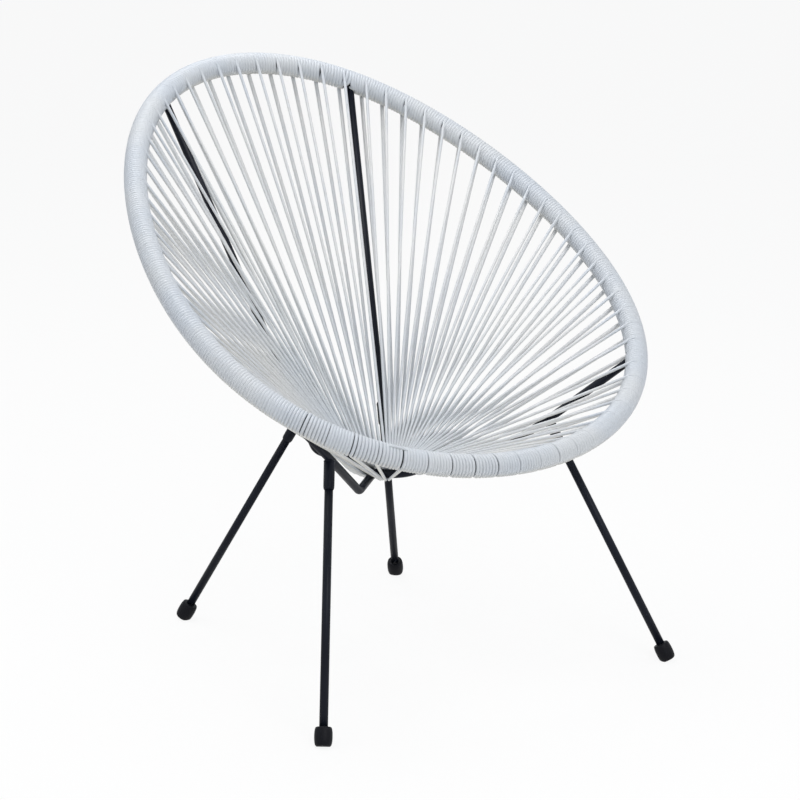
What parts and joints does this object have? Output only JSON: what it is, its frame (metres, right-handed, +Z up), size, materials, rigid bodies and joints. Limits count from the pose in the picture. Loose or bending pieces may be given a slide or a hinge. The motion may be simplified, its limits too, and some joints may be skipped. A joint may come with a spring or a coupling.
{
  "type": "acapulco chair",
  "caption": "Low lounge chair with a bowl seat of plastic cord, strung from a tilted egg-shaped steel hoop down to a small ring, on splayed legs with foot caps.",
  "frame": {"origin": "on the floor under the middle of the chair's overall box", "axes": "+Z up, -Y to the front where the sitter's knees are, +X to the side that is on the right when the chair is seen from its front"},
  "size_m": [0.7662, 0.7541, 0.8253],
  "materials": {
    "frame_coat": "black powder coat with a faint blue cast, satin",
    "cord": "pale grey-white round plastic cord, satin",
    "foot_plastic": "black moulded plastic, matt"
  },
  "bodies": {
    "root": {"back_strut_left": "frame_coat", "back_strut_right": "frame_coat", "foot_cap_front_left": "foot_plastic", "foot_cap_front_right": "foot_plastic", "foot_cap_rear_left": "foot_plastic", "foot_cap_rear_right": "foot_plastic", "hoop_tube": "frame_coat", "leg_front_left": "frame_coat", "leg_front_right": "frame_coat", "leg_rear_left": "frame_coat", "leg_rear_right": "frame_coat", "leg_socket_front_left": "frame_coat", "leg_socket_front_right": "frame_coat", "leg_socket_rear_left": "frame_coat", "leg_socket_rear_right": "frame_coat", "rim_winding_back": "cord", "rim_winding_front": "cord", "rim_winding_left": "cord", "rim_winding_right": "cord", "seat_ring": "frame_coat", "seat_strands_back_1": "cord", "seat_strands_back_2": "cord", "seat_strands_front_1": "cord", "seat_strands_front_2": "cord", "seat_strands_front_3": "cord", "seat_strands_front_4": "cord", "seat_strands_left_1": "cord", "seat_strands_left_2": "cord", "seat_strands_left_3": "cord", "seat_strands_left_4": "cord", "seat_strands_right_1": "cord", "seat_strands_right_2": "cord", "seat_strands_right_3": "cord", "seat_strands_right_4": "cord", "side_rod_left": "frame_coat", "side_rod_right": "frame_coat"}
  },
  "joints": []
}
